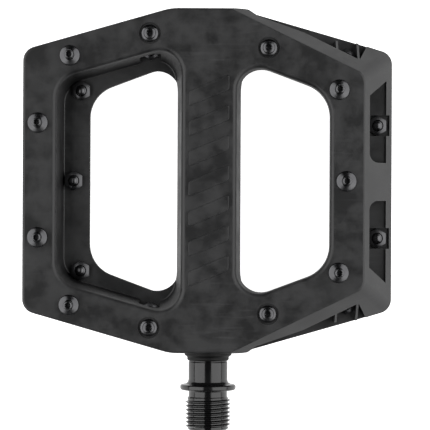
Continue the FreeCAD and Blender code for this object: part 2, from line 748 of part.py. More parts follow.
def ball(number, turn):
    item = doc.addObject("Part::Sphere", f"ball_{number}")
    bind(item, "Radius", "ball_radius")
    bind(item, "Placement.Base.x", f"pitch_radius * cos({turn} deg)")
    bind(item, "Placement.Base.y", BEARING_MIDDLE)
    bind(item, "Placement.Base.z", f"pitch_radius * sin({turn} deg)")
    return item


def cage_window(number, turn):
    """A round way through the cage, square to the axle."""
    item = doc.addObject("Part::Cylinder", f"cage_window_{number}")
    outwards = FreeCAD.Vector(math.cos(math.radians(turn)), 0, math.sin(math.radians(turn)))
    item.Placement.Rotation = FreeCAD.Rotation(FreeCAD.Vector(0, 0, 1), outwards)
    bind(item, "Radius", "ball_radius + cage_clearance")
    bind(item, "Height", "2 * pitch_radius")
    bind(item, "Placement.Base.y", BEARING_MIDDLE)
    return item


grooved_ring("bearing_inner_ring", "bearing_bore", "inner_land")
grooved_ring("bearing_outer_ring", "outer_land", "bearing_radius")
parts.append(gathered("bearing_balls", [ball(*item) for item in enumerate(ball_turns(), start=1)]))
cage_blank = new_body("cage_blank")
revolve(cage_blank, "XY_Plane", [
    ("pitch_radius - cage_thickness / 2", f"{BEARING_MIDDLE} - cage_width / 2"),
    ("pitch_radius + cage_thickness / 2", f"{BEARING_MIDDLE} - cage_width / 2"),
    ("pitch_radius + cage_thickness / 2", f"{BEARING_MIDDLE} + cage_width / 2"),
    ("pitch_radius - cage_thickness / 2", f"{BEARING_MIDDLE} + cage_width / 2"),
])
cage_windows = gathered("cage_windows", [cage_window(*item) for item in enumerate(ball_turns(), start=1)])
parts.append(boolean("Cut", "bearing_cage", cage_blank, cage_windows))
for side, start in (("inboard", "bearing_face + shield_inset"),
                    ("outboard", "bearing_face + bearing_width - shield_inset - shield_thickness")):
    plain_ring(f"{side}_shield", "inner_land + shield_gap", "outer_land", start, f"{start} + shield_thickness")

# --- lock nut, washer, end cap and its ring --------------------------------------------------

NUT_FACE = f"({STUD_START} + washer_thickness)"
plain_ring("lock_washer", "stud_radius + nut_bore_clearance", "washer_radius", STUD_START, NUT_FACE)
lock_nut = hexagon_nut("lock_nut", "XZ_Plane", "lock_nut_flats", f"-({NUT_FACE} + lock_nut_height)",
                       f"-{NUT_FACE}", "stud_radius + nut_bore_clearance")
parts.append(lock_nut)

CAP_END = "(inboard_gap + 2 * half_width)"
cap = turned_ring("end_cap", [
    ("0", f"{CAP_END} - cap_length"), ("cap_radius - cap_chamfer", f"{CAP_END} - cap_length"),
    ("cap_radius", f"{CAP_END} - cap_length + cap_chamfer"), ("cap_radius", f"{CAP_END} - cap_chamfer"),
    ("cap_radius - cap_chamfer", CAP_END), ("0", CAP_END),
])
cap_key = new_sketch(cap, "cap_socket", "XZ_Plane", f"-{CAP_END}")
add_hexagon(cap_key, "cap_key")
pocket(cap, cap_key, "cap_key_depth", reverse=True)

cap_ring = doc.addObject("Part::Torus", "end_cap_ring")
bind(cap_ring, "Radius1", "cap_radius - ring_thickness / 2")
bind(cap_ring, "Radius2", "ring_thickness / 2")
cap_ring.Placement = FreeCAD.Placement(FreeCAD.Vector(), FreeCAD.Rotation(FreeCAD.Vector(1, 0, 0), 90))
bind(cap_ring, "Placement.Base.y", f"{CAP_END} - cap_length - ring_thickness / 2")
parts.append(cap_ring)

# --- check and write -------------------------------------------------------------------------

doc.recompute()
for item in doc.Objects:
    if {"Invalid", "Error"} & set(item.State):
        raise RuntimeError(f"{item.Name} failed: {item.State}")
for part in parts:
    part.Label = part.Name
    if part.Shape.isNull() or not part.Shape.isValid():
        raise RuntimeError(f"{part.Label} has no valid shape")

os.makedirs("parts", exist_ok=True)
for part in parts:
    part.Shape.exportStep(f"parts/{part.Label}.step")
    print(part.Label, len(part.Shape.Solids), round(part.Shape.Volume, 2))
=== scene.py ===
"""A flat bicycle pedal: the looks of its moulded platform, steel tread pins and threaded axle.

Every piece is built about its own axis in metres, then placed in the row frame: the origin is on
the axle at the crank's shoulder, +Y runs outwards along the axle and +Z leaves the upper tread.
"""
import logging
import math
from dataclasses import dataclass, field
from enum import Enum
from typing import Sequence

import bmesh
import bpy
from mathutils import Matrix, Vector


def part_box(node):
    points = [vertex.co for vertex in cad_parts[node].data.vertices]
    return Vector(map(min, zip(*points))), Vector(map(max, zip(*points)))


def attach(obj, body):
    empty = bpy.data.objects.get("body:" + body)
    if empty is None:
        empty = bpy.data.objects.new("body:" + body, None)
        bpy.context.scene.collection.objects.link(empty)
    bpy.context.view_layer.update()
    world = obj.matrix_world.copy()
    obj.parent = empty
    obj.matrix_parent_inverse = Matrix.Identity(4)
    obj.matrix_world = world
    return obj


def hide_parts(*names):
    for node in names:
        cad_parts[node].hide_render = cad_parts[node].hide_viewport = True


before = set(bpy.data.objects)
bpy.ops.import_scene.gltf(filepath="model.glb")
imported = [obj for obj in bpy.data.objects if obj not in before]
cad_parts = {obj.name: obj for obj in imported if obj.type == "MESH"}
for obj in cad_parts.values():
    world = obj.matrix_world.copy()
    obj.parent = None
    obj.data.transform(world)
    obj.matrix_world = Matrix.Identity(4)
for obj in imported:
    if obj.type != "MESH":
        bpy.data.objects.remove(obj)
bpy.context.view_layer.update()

log = logging.getLogger("flat_pedal")

MM = 0.001
Color = tuple[float, float, float]
HALF_TURN = Matrix.Rotation(math.pi, 4, "Y")
ALONG_AXLE = Matrix.Rotation(-math.pi / 2, 4, "X")
MIDDLE_ROW = 66.0
HALF_HEIGHT = 9.5
PIN_REACH = 14.8
TURNED_SHARP = 35.0


# --- turned and threaded shapes --------------------------------------------------------------

class Outline(Enum):
    """The plan of one ring of a turned shape."""

    ROUND = "round"
    HEXAGON = "hexagon"


@dataclass(frozen=True)
class Ring:
    """One ring of points about the axis, in millimetres.

    A hexagon's radius is half its flats, and crown is how steeply its corners fall away.
    """

    radius: float
    height: float
    outline: Outline = Outline.ROUND
    crown: float = 0.0

    def point(self, turn: float) -> Vector:
        """Give the ring's point at one turn about the axis.

        Args:
            turn: The turn about the axis, in radians.

        Returns:
            The point, in metres.
        """
        radius, height = self.radius, self.height
        if self.outline is Outline.HEXAGON:
            sixth = math.pi / 3
            radius = self.radius / math.cos((turn + sixth / 2) % sixth - sixth / 2)
            height -= self.crown * max(0.0, radius - self.radius)
        return Vector((radius * math.cos(turn), radius * math.sin(turn), height)) * MM


@dataclass(frozen=True)
class Thread:
    """A right-hand screw thread that runs out at both ends, in millimetres."""

    start: float
    end: float
    root: float
    crest: float
    pitch: float
    start_radius: float
    end_radius: float
    run: float

    SHAPE = ((0.0, 0.0), (0.125, 0.0), (0.44, 1.0), (0.56, 1.0), (0.875, 0.0))

    def radius(self, height: float, share: float) -> float:
        """Give the thread's radius at one height.

        Args:
            height: The place along the axis.
            share: How far from root to crest the thread's own form is there.

        Returns:
            The radius, no more than the tapers at the thread's two ends allow.
        """
        slope = (self.crest - min(self.start_radius, self.end_radius)) / self.run
        form = self.root + share * (self.crest - self.root)
        first = self.start_radius + (height - self.start) * slope
        last = self.end_radius + (self.end - height) * slope
        return min(form, first, last)


@dataclass(frozen=True)
class Nut:
    """A hexagon nut whose corners are turned off at both ends, in millimetres."""

    low: float
    high: float
    half_flats: float
    land: float
    bore: float
    mouth: float
    edge: float
    dish: float = 0.0

    CROWN = math.tan(math.radians(30))

    def rings(self) -> list[Ring]:
        """Give the nut's rings, which make a closed loop.

        Returns:
            The rings, from the lower mouth outwards, up and back through the bore.
        """
        low_edge = self.low + self.dish + self.edge
        return [
            Ring(self.bore + self.mouth, self.low), Ring(self.land, self.low + self.dish),
            Ring(self.half_flats, low_edge, Outline.HEXAGON, -self.CROWN),
            Ring(self.half_flats, self.high - self.edge, Outline.HEXAGON, self.CROWN),
            Ring(self.land, self.high), Ring(self.bore + self.mouth, self.high),
            Ring(self.bore, self.high - self.mouth), Ring(self.bore, self.low + self.mouth)]


class TurnedMesh:
    """A mesh made of rings about one axis, from its lowest point round to its highest."""

    MERGE = 1e-7
    SHARP = math.radians(32)

    def __init__(self, columns: int = 72) -> None:
        """Start an empty mesh.

        Args:
            columns: How many points each ring has, a multiple of six.
        """
        self.columns = columns
        self.mesh = bmesh.new()

    def _turn(self, column: int) -> float:
        """Give a column's turn about the axis, in radians."""
        return math.tau * (column % self.columns) / self.columns

    def _row(self, ring: Ring) -> list[bmesh.types.BMVert]:
        """Add a ring's points, or its one point where it is on the axis.

        Args:
            ring: The ring to add.

        Returns:
            One vertex for each column.
        """
        if ring.radius == 0:
            return [self.mesh.verts.new((0, 0, ring.height * MM))] * self.columns
        return [self.mesh.verts.new(ring.point(self._turn(c))) for c in range(self.columns)]

    def _face(self, corners: Sequence[bmesh.types.BMVert]) -> None:
        """Add a face through the corners, once each.

        Args:
            corners: The face's corners in order, some of which may be the same.
        """
        distinct = list(dict.fromkeys(corners))
        if len(distinct) > 2:
            self.mesh.faces.new(distinct)

    def rings(self, rings: Sequence[Ring], closed: bool = False) -> "TurnedMesh":
        """Join rings one to the next.

        Args:
            rings: The rings in order, outwards from the lower end of the axis.
            closed: Whether the last ring joins the first, for a shape with a bore.

        Returns:
            This mesh.
        """
        rows = [self._row(ring) for ring in rings]
        if closed:
            rows.append(rows[0])
        for low, high in zip(rows, rows[1:]):
            for c in range(self.columns):
                d = (c + 1) % self.columns
                self._face((low[c], low[d], high[d], high[c]))
        return self

    def thread(self, thread: Thread) -> "TurnedMesh":
        """Add a screw thread as one strip that climbs round the axis.

        Args:
            thread: The thread to add.

        Returns:
            This mesh.
        """
        steps = len(thread.SHAPE)
        turns = math.ceil((thread.end - thread.start) / thread.pitch) + 2
        rows = []
        for turn in range(turns):
            for phase, share in thread.SHAPE:
                row = []
                for c in range(self.columns):
                    climb = thread.pitch * (turn - 1 + phase + c / self.columns)
                    height = min(max(thread.start + climb, thread.start), thread.end)
                    radius = thread.radius(height, share)
                    row.append(self.mesh.verts.new(Ring(radius, height).point(self._turn(c))))
                rows.append(row)
        for number in range(len(rows) - 1):
            low, high = rows[number], rows[number + 1]
            for c in range(self.columns - 1):
                self._face((low[c], low[c + 1], high[c + 1], high[c]))
            if number + steps + 1 < len(rows):
                seam_low, seam_high = rows[number + steps], rows[number + steps + 1]
                self._face((low[-1], seam_low[0], seam_high[0], high[-1]))
        return self

    def made(self, name: str, place: Matrix = Matrix.Identity(4)) -> bpy.types.Object:
        """Finish the mesh and put it in the scene.

        Args:
            name: The new object's name.
            place: Where the shape's own axis goes in the row frame.

        Returns:
            The new object.
        """
        bmesh.ops.remove_doubles(self.mesh, verts=self.mesh.verts, dist=self.MERGE)
        bmesh.ops.dissolve_degenerate(self.mesh, edges=self.mesh.edges, dist=self.MERGE)
        item = put_in_scene(name, self.mesh)
        item.matrix_world = place
        smooth(item, self.SHARP)
        return item


def put_in_scene(name: str, mesh: bmesh.types.BMesh) -> bpy.types.Object:
    """Make a finished mesh into an object of the scene.

    Args:
        name: The new object's name.
        mesh: The mesh, which is freed.

    Returns:
        The new object.
    """
    data = bpy.data.meshes.new(name)
    mesh.to_mesh(data)
    mesh.free()
    item = bpy.data.objects.new(name, data)
    bpy.context.scene.collection.objects.link(item)
    return item


def smooth(item: bpy.types.Object, sharp: float) -> None:
    """Shade an object smoothly, except across its sharp edges.

    Args:
        item: The object.
        sharp: The angle between faces from which an edge is sharp, in radians.
    """
    item.data.shade_smooth()
    item.data.set_sharp_from_angle(angle=sharp)


def weigh_normals(item: bpy.types.Object) -> None:
    """Let an object's large faces decide how its edges are shaded.

    Args:
        item: The object.
    """
    weighted = item.modifiers.new("face_weights", "WEIGHTED_NORMAL")
    weighted.keep_sharp = True
    weighted.weight = 90


def softened(profile: Sequence[tuple[float, float]], radius: float) -> list[Ring]:
    """Round the corners of a profile.

    Args:
        profile: The corners as pairs of radius and height, in millimetres.
        radius: How far from a corner its rounding starts.

    Returns:
        The rings of the rounded profile, whose two ends are kept.
    """
    corners = [Vector(pair) for pair in profile]
    rings = [Ring(*corners[0])]
    for before, corner, after in zip(corners, corners[1:], corners[2:]):
        reach = min(radius, (before - corner).length * 0.45, (after - corner).length * 0.45)
        first = corner + (before - corner).normalized() * reach
        last = corner + (after - corner).normalized() * reach
        for share in (0.0, 0.5, 1.0):
            bent = first.lerp(corner, share).lerp(corner.lerp(last, share), share)
            rings.append(Ring(*bent))
    rings.append(Ring(*corners[-1]))
    return rings


def loop_softened(profile: Sequence[tuple[float, float]], radius: float) -> list[Ring]:
    """Round every corner of a closed profile.

    Args:
        profile: The corners in order round the section, in millimetres.
        radius: How far from a corner its rounding starts.

    Returns:
        The rings of the rounded profile.
    """
    whole = [profile[-1], *profile, profile[0]]
    return softened(whole, radius)[1:-1]


# --- surface effects that finishes share -------------------------------------------------------

class Group:
    """A shader node group under construction."""

    def __init__(self, name: str, inputs: dict[str, float], outputs: Sequence[str]) -> None:
        """Make the group and its sockets.

        Args:
            name: The group's name.
            inputs: Each number the group takes, with its usual value.
            outputs: The names of the values it gives.
        """
        self.tree = bpy.data.node_groups.new(name, "ShaderNodeTree")
        face = self.tree.interface
        face.new_socket("Vector", in_out="INPUT", socket_type="NodeSocketVector")
        for label, usual in inputs.items():
            made = face.new_socket(label, in_out="INPUT", socket_type="NodeSocketFloat")
            made.default_value = usual
        for label in outputs:
            face.new_socket(label, in_out="OUTPUT", socket_type="NodeSocketFloat")
        self.wires = Wires(self.tree)
        self.start = self.wires.add("NodeGroupInput")
        self.end = self.wires.add("NodeGroupOutput")


class Wires:
    """Adds nodes to a tree and joins them."""

    def __init__(self, tree: bpy.types.NodeTree) -> None:
        """Keep the tree to work on."""
        self.tree = tree

    def add(self, kind: str, **settings: object) -> bpy.types.Node:
        """Add a node.

        Args:
            kind: The node's type.
            **settings: Values for the node's own properties.

        Returns:
            The node.
        """
        node = self.tree.nodes.new(kind)
        for label, value in settings.items():
            setattr(node, label, value)
        return node

    def put(self, socket: bpy.types.NodeSocket, value: object) -> None:
        """Give a socket a value, or join another socket to it.

        Args:
            socket: The socket that takes it.
            value: A number, a tuple or an output socket.
        """
        if isinstance(value, bpy.types.NodeSocket):
            self.tree.links.new(value, socket)
        else:
            socket.default_value = value

    def math(self, operation: str, *values: object, clamp: bool = False) -> bpy.types.NodeSocket:
        """Add a Math node.

        Args:
            operation: What it does.
            *values: A number or a socket for each of its inputs.
            clamp: Whether the result is kept between 0 and 1.

        Returns:
            Its output.
        """
        node = self.add("ShaderNodeMath", operation=operation, use_clamp=clamp)
        for socket, value in zip(node.inputs, values):
            self.put(socket, value)
        return node.outputs[0]

    def remap(self, value: object, low: object, high: object,
              to_low: object = 0.0, to_high: object = 1.0) -> bpy.types.NodeSocket:
        """Stretch a range of values to another, and keep the result inside it.

        Args:
            value: The value.
            low: What becomes to_low.
            high: What becomes to_high.
            to_low: The new range's start.
            to_high: The new range's end.

        Returns:
            The stretched value.
        """
        node = self.add("ShaderNodeMapRange")
        for label, given in zip(("Value", "From Min", "From Max", "To Min", "To Max"),
                                (value, low, high, to_low, to_high)):
            self.put(node.inputs[label], given)
        return node.outputs["Result"]

    def noise(self, vector: object, scale: object, detail: float = 4.0,
              roughness: float = 0.5) -> bpy.types.NodeSocket:
        """Add a noise texture.

        Args:
            vector: The place on the surface.
            scale: How many cells fit in a metre.
            detail: How many finer layers it has.
            roughness: How strong the finer layers are.

        Returns:
            Its grey value.
        """
        node = self.add("ShaderNodeTexNoise")
        self.put(node.inputs["Vector"], vector)
        self.put(node.inputs["Scale"], scale)
        node.inputs["Detail"].default_value = detail
        node.inputs["Roughness"].default_value = roughness
        return node.outputs[0]

    def mix(self, share: object, first: object, second: object) -> bpy.types.NodeSocket:
        """Mix two colours.

        Args:
            share: How much of the second colour there is.
            first: The first colour.
            second: The second colour.

        Returns:
            The mixed colour.
        """
        node = self.add("ShaderNodeMix", data_type="RGBA")
        # A Mix node's colour sockets come after those for numbers and vectors.
        self.put(node.inputs[0], share)
        self.put(node.inputs[6], first)
        self.put(node.inputs[7], second)
        return node.outputs[2]

    def group(self, effect: bpy.types.NodeTree, vector: object,
              **values: object) -> bpy.types.Node:
        """Place a shared effect.

        Args:
            effect: The effect's node group.
            vector: The place on the surface.
            **values: A value for each of the group's inputs, by its name.

        Returns:
            The group's node.
        """
        node = self.add("ShaderNodeGroup", node_tree=effect)
        self.put(node.inputs["Vector"], vector)
        for label, value in values.items():
            self.put(node.inputs[label.replace("_", " ").capitalize()], value)
        return node


def make_grain() -> bpy.types.NodeTree:
    """Make the effect of a surface's grain and its broad light and dark patches.

    Returns:
        The group, which gives Patches and Height.
    """
    group = Group("grain_and_patches", {"Grain": 4000.0, "Patch": 90.0}, ("Patches", "Height"))
    wires, start = group.wires, group.start
    place = start.outputs["Vector"]
    broad = wires.noise(place, start.outputs["Patch"], detail=5.0, roughness=0.62)
    fine = wires.noise(place, start.outputs["Grain"], detail=2.0)
    wires.put(group.end.inputs["Patches"], wires.remap(broad, 0.4, 0.62))
    wires.put(group.end.inputs["Height"], fine)
    return group.tree


def make_edge_wear() -> bpy.types.NodeTree:
    """Make the effect of edges that handling has rubbed lighter.

    Returns:
        The group, which gives Worn.
    """
    group = Group("edge_wear", {"Width": 0.0005, "Breakup": 350.0, "Amount": 0.5}, ("Worn",))
    wires, start = group.wires, group.start
    rounded = wires.add("ShaderNodeBevel", samples=4)
    wires.put(rounded.inputs["Radius"], start.outputs["Width"])
    solid = wires.add("ShaderNodeNewGeometry")
    across = wires.add("ShaderNodeVectorMath", operation="DOT_PRODUCT")
    wires.put(across.inputs[0], rounded.outputs[0])
    wires.put(across.inputs[1], solid.outputs["Normal"])
    edge = wires.remap(across.outputs["Value"], 0.995, 0.8)
    patchy = wires.noise(start.outputs["Vector"], start.outputs["Breakup"], detail=3.0)
    worn = wires.math("MULTIPLY", edge, wires.remap(patchy, 0.3, 0.62, 0.35, 1.0))
    wires.put(group.end.inputs["Worn"],
              wires.math("MULTIPLY", worn, start.outputs["Amount"], clamp=True))
    return group.tree


def make_scuffs() -> bpy.types.NodeTree:
    """Make the effect of fine rub marks that run in two directions.

    Returns:
        The group, which gives Marks.
    """
    group = Group("scuffs", {"Size": 60.0, "Amount": 0.5}, ("Marks",))
    wires, start = group.wires, group.start
    strokes = []
    for turn, stretch in ((0.5, 14.0), (-0.9, 9.0)):
        mapping = wires.add("ShaderNodeMapping")
        wires.put(mapping.inputs["Vector"], start.outputs["Vector"])
        mapping.inputs["Rotation"].default_value = (0.0, 0.0, turn)
        mapping.inputs["Scale"].default_value = (1.0, stretch, stretch)
        streak = wires.noise(mapping.outputs[0], start.outputs["Size"], detail=3.0)
        strokes.append(wires.remap(streak, 0.6, 0.72))
    where = wires.remap(wires.noise(start.outputs["Vector"], 45.0, detail=1.0), 0.5, 0.66)
    both = wires.math("MAXIMUM", *strokes)
    marks = wires.math("MULTIPLY", wires.math("MULTIPLY", both, where), start.outputs["Amount"])
    wires.put(group.end.inputs["Marks"], marks)
    return group.tree


def make_turning() -> bpy.types.NodeTree:
    """Make the effect of the fine rings that a lathe tool leaves.

    Returns:
        The group, which gives Height.
    """
    group = Group("turning_rings", {"Spacing": 9000.0}, ("Height",))
    wires, start = group.wires, group.start
    parts = wires.add("ShaderNodeSeparateXYZ")
    wires.put(parts.inputs[0], start.outputs["Vector"])
    flat = wires.add("ShaderNodeCombineXYZ")
    wires.put(flat.inputs[0], parts.outputs[0])
    wires.put(flat.inputs[1], parts.outputs[1])
    length = wires.add("ShaderNodeVectorMath", operation="LENGTH")
    wires.put(length.inputs[0], flat.outputs[0])
    line = wires.add("ShaderNodeCombineXYZ")
    wires.put(line.inputs[0], length.outputs["Value"])
    wires.put(line.inputs[2], parts.outputs[2])
    wires.put(group.end.inputs["Height"],
              wires.noise(line.outputs[0], start.outputs["Spacing"], detail=2.0))
    return group.tree


GRAIN = make_grain()
EDGE_WEAR = make_edge_wear()
SCUFFS = make_scuffs()
TURNING = make_turning()


# --- finishes ----------------------------------------------------------------------------------

@dataclass(frozen=True)
class Finish:
    """How one kind of surface looks. Sizes are in metres, and grain and patch in cells a metre."""

    name: str
    color: Color
    patch_color: Color
    worn_color: Color
    roughness: float
    roughness_swing: float = 0.1
    metallic: float = 0.0
    specular: float = 0.5
    coat: float = 0.0
    coat_roughness: float = 0.2
    grain: float = 4000.0
    grain_depth: float = 0.00002
    patch: float = 90.0
    wear: float = 0.5
    wear_width: float = 0.0004
    scuffs: float = 0.0
    turned: float = 0.0

    def made(self) -> bpy.types.Material:
        """Make the finish's material.

        Returns:
            The material, made once and shared by every piece that has this finish.
        """
        detailed = f"{self.name}_detailed"
        if detailed in bpy.data.materials:
            return bpy.data.materials[detailed]
        material = bpy.data.materials.new(detailed)
        material.use_nodes = True
        material.node_tree.nodes.clear()
        wires = Wires(material.node_tree)
        place = wires.add("ShaderNodeTexCoord").outputs["Object"]
        grain = wires.group(GRAIN, place, grain=self.grain, patch=self.patch)
        worn = wires.group(EDGE_WEAR, place, width=self.wear_width, amount=self.wear)
        scuffs = wires.group(SCUFFS, place, amount=self.scuffs)
        patches = grain.outputs["Patches"]
        color = wires.mix(patches, (*self.color, 1.0), (*self.patch_color, 1.0))
        rubbed = wires.math("MAXIMUM", worn.outputs[0], scuffs.outputs[0], clamp=True)
        color = wires.mix(rubbed, color, (*self.worn_color, 1.0))
        roughness = wires.remap(patches, 0.0, 1.0, self.roughness,
                                self.roughness + self.roughness_swing)
        height = grain.outputs["Height"]
        if self.turned:
            rings = wires.group(TURNING, place).outputs["Height"]
            height = wires.math("ADD", height, wires.math("MULTIPLY", rings, self.turned))
        bump = wires.add("ShaderNodeBump")
        bump.inputs["Distance"].default_value = self.grain_depth
        wires.put(bump.inputs["Height"], height)
        shader = wires.add("ShaderNodeBsdfPrincipled")
        wires.put(shader.inputs["Base Color"], color)
        wires.put(shader.inputs["Roughness"], roughness)
        wires.put(shader.inputs["Normal"], bump.outputs[0])
        shader.inputs["Metallic"].default_value = self.metallic
        shader.inputs["Specular IOR Level"].default_value = self.specular
        shader.inputs["Coat Weight"].default_value = self.coat
        shader.inputs["Coat Roughness"].default_value = self.coat_roughness
        output = wires.add("ShaderNodeOutputMaterial")
        wires.put(output.inputs["Surface"], shader.outputs[0])
        return material

    def dress(self, item: bpy.types.Object) -> None:
        """Give the whole of an object this finish."""
        item.data.materials.clear()
        item.data.materials.append(self.made())


MOULDED_NYLON = Finish(
    "moulded_nylon", color=(0.006, 0.006, 0.0063), patch_color=(0.019, 0.019, 0.0195),
    worn_color=(0.05, 0.05, 0.051), roughness=0.38, roughness_swing=0.16, grain=3200.0,
    grain_depth=0.00001, patch=110.0, wear=0.4, wear_width=0.0006, scuffs=0.3)
MOULDED_CAP = Finish(
    "moulded_cap", color=(0.008, 0.008, 0.0083), patch_color=(0.014, 0.014, 0.0143),
    worn_color=(0.05, 0.05, 0.051), roughness=0.36, grain=5000.0, grain_depth=0.000006, wear=0.4)
BLACK_STEEL = Finish(
    "black_steel", color=(0.003, 0.003, 0.0031), patch_color=(0.005, 0.005, 0.0052),
    worn_color=(0.04, 0.04, 0.042), roughness=0.12, roughness_swing=0.08,
    coat=0.15, coat_roughness=0.08, grain=7000.0, grain_depth=0.0000006, wear=0.3,
    wear_width=0.00015, turned=2.0)
PIN_STEEL = Finish(
    "pin_steel", color=(0.07, 0.07, 0.073), patch_color=(0.10, 0.10, 0.103),
    worn_color=(0.2, 0.2, 0.2), roughness=0.2, roughness_swing=0.12, metallic=1.0,
    grain=9000.0, grain_depth=0.000001, wear=0.3, wear_width=0.0001, turned=2.0)
NUT_STEEL = Finish(
    "nut_steel", color=(0.06, 0.06, 0.063), patch_color=(0.09, 0.09, 0.093),
    worn_color=(0.2, 0.2, 0.2), roughness=0.24, roughness_swing=0.14, metallic=1.0,
    grain=9000.0, grain_depth=0.000001, wear=0.3, wear_width=0.0001)
SEAL_RUBBER = Finish(
    "seal_rubber", color=(0.004, 0.004, 0.004), patch_color=(0.007, 0.007, 0.007),
    worn_color=(0.02, 0.02, 0.02), roughness=0.5, roughness_swing=0.12, specular=0.2,
    grain=6000.0, grain_depth=0.000004, wear=0.1)
SHIELD_RUBBER = Finish(
    "shield_rubber", color=(0.03, 0.012, 0.01), patch_color=(0.04, 0.016, 0.013),
    worn_color=(0.08, 0.05, 0.05), roughness=0.55, grain=6000.0, wear=0.2)
BUSH_METAL = Finish(
    "bush_metal", color=(0.46, 0.30, 0.15), patch_color=(0.38, 0.24, 0.12),
    worn_color=(0.6, 0.44, 0.26), roughness=0.34, metallic=1.0, grain=6000.0,
    grain_depth=0.00001, wear=0.4)
BEARING_STEEL = Finish(
    "bearing_steel", color=(0.58, 0.58, 0.6), patch_color=(0.5, 0.5, 0.52),
    worn_color=(0.72, 0.72, 0.73), roughness=0.12, roughness_swing=0.08, metallic=1.0,
    grain=9000.0, grain_depth=0.000003, wear=0.3, wear_width=0.00015)
CAGE_PLASTIC = Finish(
    "cage_plastic", color=(0.35, 0.30, 0.20), patch_color=(0.28, 0.23, 0.15),
    worn_color=(0.45, 0.40, 0.30), roughness=0.45, grain=5000.0, wear=0.2)
ZINC_STEEL = Finish(
    "zinc_steel", color=(0.42, 0.43, 0.45), patch_color=(0.5, 0.51, 0.53),
    worn_color=(0.65, 0.65, 0.66), roughness=0.3, metallic=1.0, grain=8000.0,
    grain_depth=0.000006, wear=0.4, wear_width=0.0002)


# --- sub-assemblies ----------------------------------------------------------------------------

PLATFORM = "platform"
SPINDLE = "spindle"


def fit(item: bpy.types.Object, body: str, finish: Finish, *nodes: str) -> None:
    """Dress a new piece, put it on its body and let it stand for CAD nodes.

    Args:
        item: The piece.
        body: The CAD body it moves with.
        finish: How it looks.
        *nodes: The CAD nodes that it stands for.
    """
    finish.dress(item)
    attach(item, body)
    if nodes:
        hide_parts(*nodes)
    log.info("built %s, %d faces", item.name, len(item.data.polygons))


def dress_node(node: str, finish: Finish, sharp: float = 20.0) -> None:
    """Dress a CAD node that stays as it is.

    Args:
        node: The node's name.
        finish: How it looks.
        sharp: The angle from which its edges are sharp, in degrees.
    """
    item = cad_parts[node]
    finish.dress(item)
    smooth(item, math.radians(sharp))
    weigh_normals(item)
    log.info("dressed %s, %d faces", node, len(item.data.polygons))


@dataclass
class Platform:
    """The moulded platform, and the plain raised bars on its barrel."""

    bar_count: int = 7
    bar_spacing: float = 9.4
    bar_half_width: float = 6.4
    bar_half_height: float = 2.4
    bar_slant: float = 0.42
    bar_corner: float = 0.9
    bar_rise: float = 0.22
    bar_bevel: float = 0.3
    bar_sink: float = 0.1
    bar_least_corner: float = 0.2
    bar_sharp: float = 40.0
    corner_steps: int = 4

    def _bar_outline(self, inset: float) -> list[tuple[float, float]]:
        """Give the rounded, slanted outline of one bar.

        Args:
            inset: How far inside the bar's foot the outline lies.

        Returns:
            Its points about the bar's own middle, in millimetres.
        """
        wide, high = self.bar_half_width - inset, self.bar_half_height - inset
        corner = max(self.bar_least_corner, self.bar_corner - inset)
        points = []
        for quarter, (side, up) in enumerate(((1, 1), (-1, 1), (-1, -1), (1, -1))):
            for step in range(self.corner_steps + 1):
                turn = math.radians(90 * (quarter + step / self.corner_steps))
                x = side * (wide - corner) + corner * math.cos(turn)
                y = up * (high - corner) + corner * math.sin(turn)
                points.append((x, y + self.bar_slant * x))
        return points

    def _add_bar(self, mesh: bmesh.types.BMesh, row: float) -> None:
        """Add one raised bar across the barrel.

        Args:
            mesh: The mesh that takes it.
            row: Its place along the axle, from the platform's middle.
        """
        levels = ((0.0, -self.bar_sink), (0.0, 0.0), (self.bar_bevel * 0.4, self.bar_rise * 0.8),
                  (self.bar_bevel, self.bar_rise))
        loops = []
        for inset, rise in levels:
            loops.append([mesh.verts.new(Vector((x, MIDDLE_ROW + row + y, HALF_HEIGHT + rise)) * MM)
                          for x, y in self._bar_outline(inset)])
        count = len(loops[0])
        for low, high in zip(loops, loops[1:]):
            for i in range(count):
                j = (i + 1) % count
                mesh.faces.new((low[i], low[j], high[j], high[i]))
        mesh.faces.new(loops[-1])
        mesh.faces.new(list(reversed(loops[0])))

    def build(self) -> None:
        """Dress the moulding and raise the bars on both treads."""
        dress_node("platform_body", MOULDED_NYLON)
        for face, place in (("upper", Matrix.Identity(4)), ("lower", HALF_TURN)):
            mesh = bmesh.new()
            for number in range(self.bar_count):
                self._add_bar(mesh, (number - (self.bar_count - 1) / 2) * self.bar_spacing)
            mesh.transform(place)
            item = put_in_scene(f"{face}_barrel_bars", mesh)
            smooth(item, math.radians(self.bar_sharp))
            fit(item, PLATFORM, MOULDED_NYLON)


